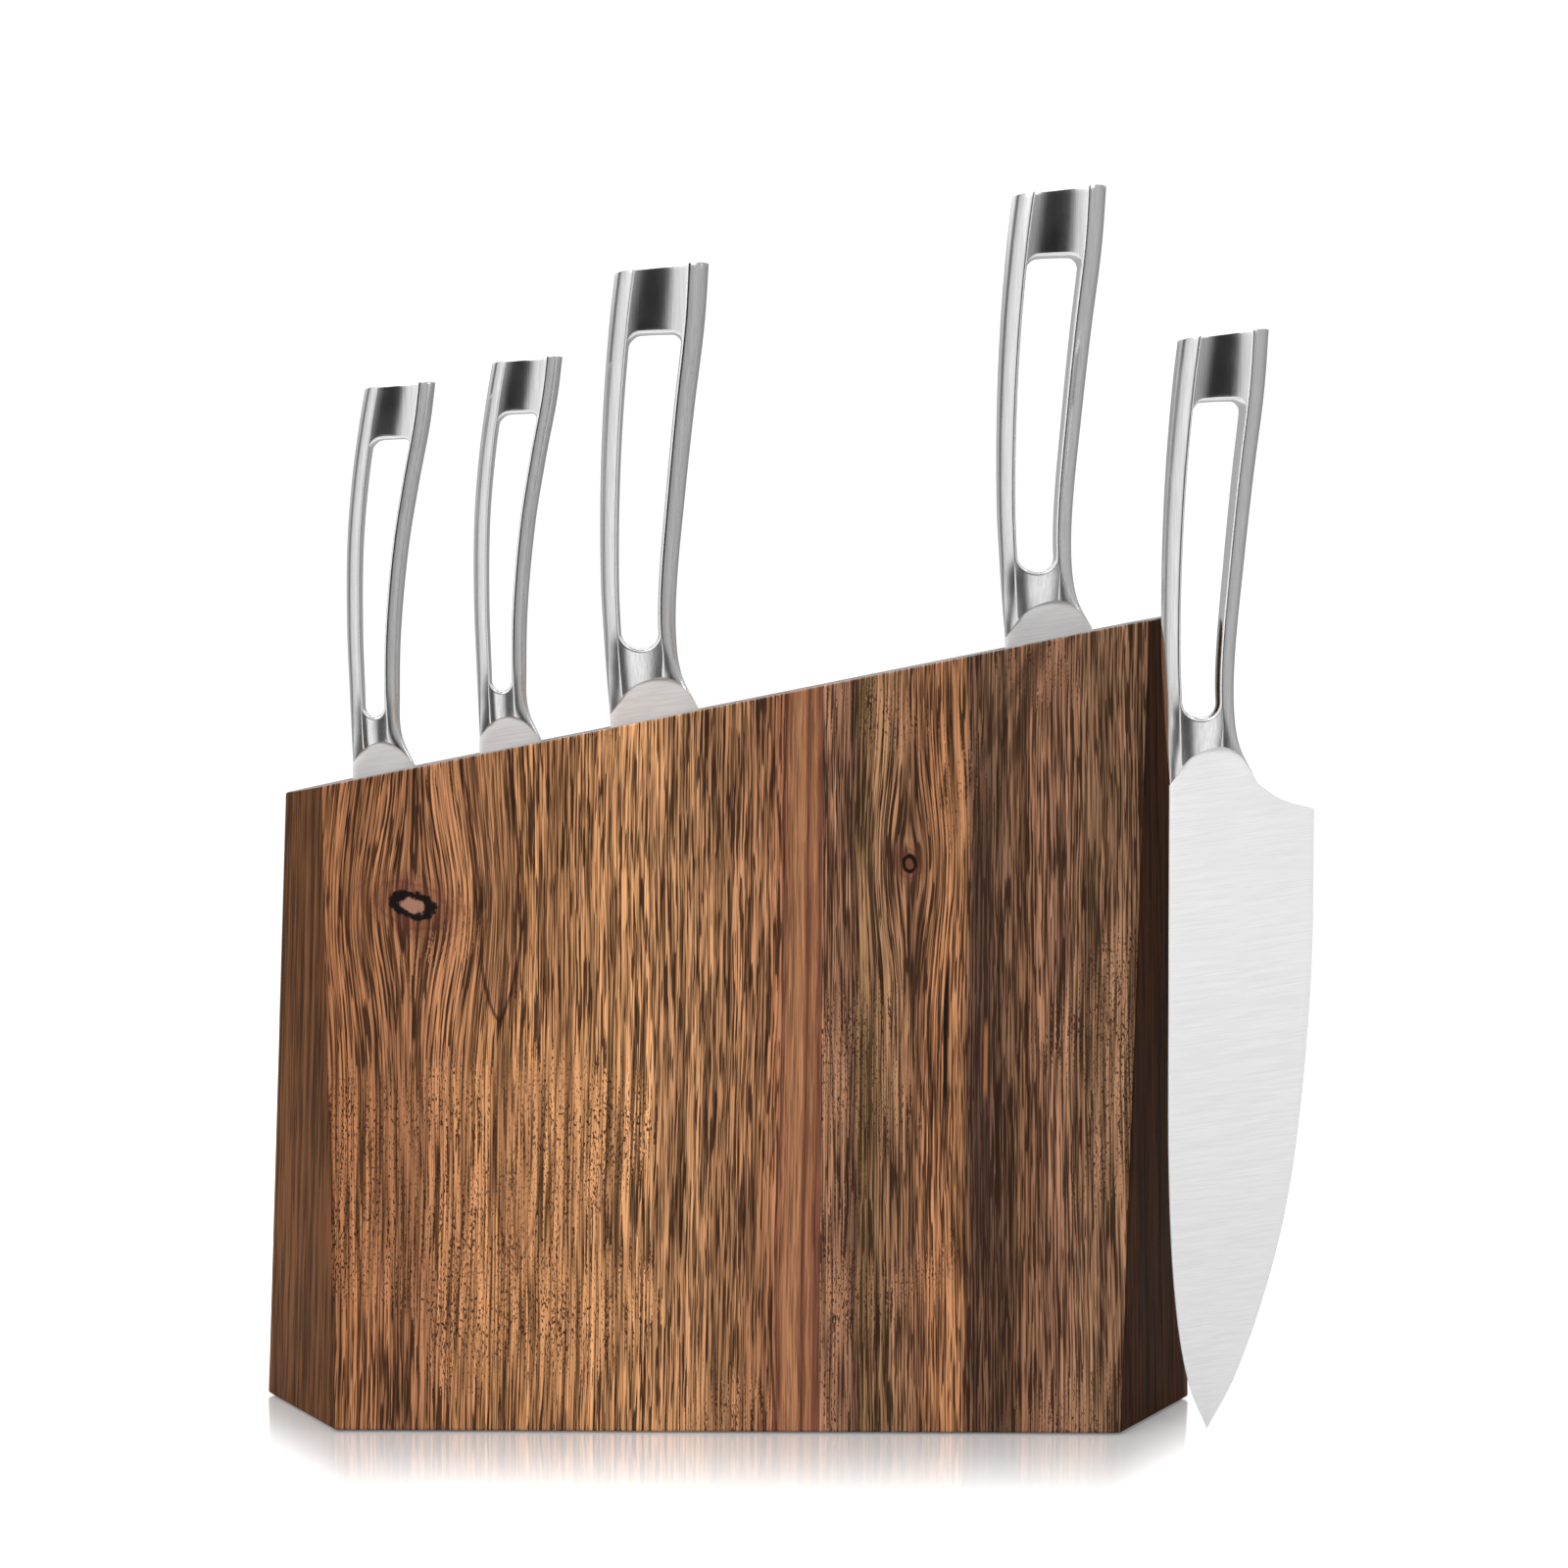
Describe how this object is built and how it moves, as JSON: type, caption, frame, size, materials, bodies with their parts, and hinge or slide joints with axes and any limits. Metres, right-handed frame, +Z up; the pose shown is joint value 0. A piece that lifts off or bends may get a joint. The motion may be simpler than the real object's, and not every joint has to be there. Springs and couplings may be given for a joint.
{
  "type": "knife block with knives",
  "caption": "Slotted wooden block with a sloped top, holding kitchen knives with open steel handles, and a chef's knife standing beside it.",
  "frame": {"origin": "middle of the underside of the block, on the non-slip sheet", "axes": "+Z up, +X towards the tall end of the block, -Y out of the wide front face; the slots lie in the plane Y = 0"},
  "size_m": [0.3289, 0.0903, 0.3907],
  "materials": {
    "wood_light": "oiled brown hardwood, vertical grain",
    "wood_dark": "oiled dark hardwood, vertical grain",
    "wood_core": "oiled brown hardwood strip",
    "dowel": "plain beech dowel, hidden",
    "pad": "matte non-slip sheet",
    "blade_steel": "fine satin, ground across",
    "handle_steel": "satin, brushed along the handle"
  },
  "bodies": {
    "block": {"front_board_left": "wood_light", "front_board_right": "wood_dark", "back_board_left": "wood_dark", "back_board_right": "wood_light", "core_bottom_rail": "wood_core", "core_strip_1": "wood_core", "core_strip_2": "wood_core", "core_strip_3": "wood_core", "core_strip_4": "wood_core", "core_strip_5": "wood_core", "core_strip_6": "wood_core", "dowel_pins": "dowel", "non_slip_pad": "pad"},
    "paring_knife": {"paring_blade": "blade_steel", "paring_handle": "handle_steel"},
    "utility_knife": {"utility_blade": "blade_steel", "utility_handle": "handle_steel"},
    "santoku_knife": {"santoku_blade": "blade_steel", "santoku_handle": "handle_steel"},
    "bread_knife": {"bread_blade": "blade_steel", "bread_handle": "handle_steel"},
    "chef_knife": {"chef_blade": "blade_steel", "chef_handle": "handle_steel"}
  },
  "joints": [
    {"name": "paring_lift", "type": "slide", "parent": "block", "child": "paring_knife", "axis": [0, 0, 1], "range_m": [0, 0.12]},
    {"name": "utility_lift", "type": "slide", "parent": "block", "child": "utility_knife", "axis": [0, 0, 1], "range_m": [0, 0.15]},
    {"name": "santoku_lift", "type": "slide", "parent": "block", "child": "santoku_knife", "axis": [0, 0, 1], "range_m": [0, 0.2]},
    {"name": "bread_lift", "type": "slide", "parent": "block", "child": "bread_knife", "axis": [0, 0, 1], "range_m": [0, 0.22]},
    {"name": "chef_lift", "type": "slide", "parent": "block", "child": "chef_knife", "axis": [0, 0, 1], "range_m": [0, 0.15]}
  ]
}
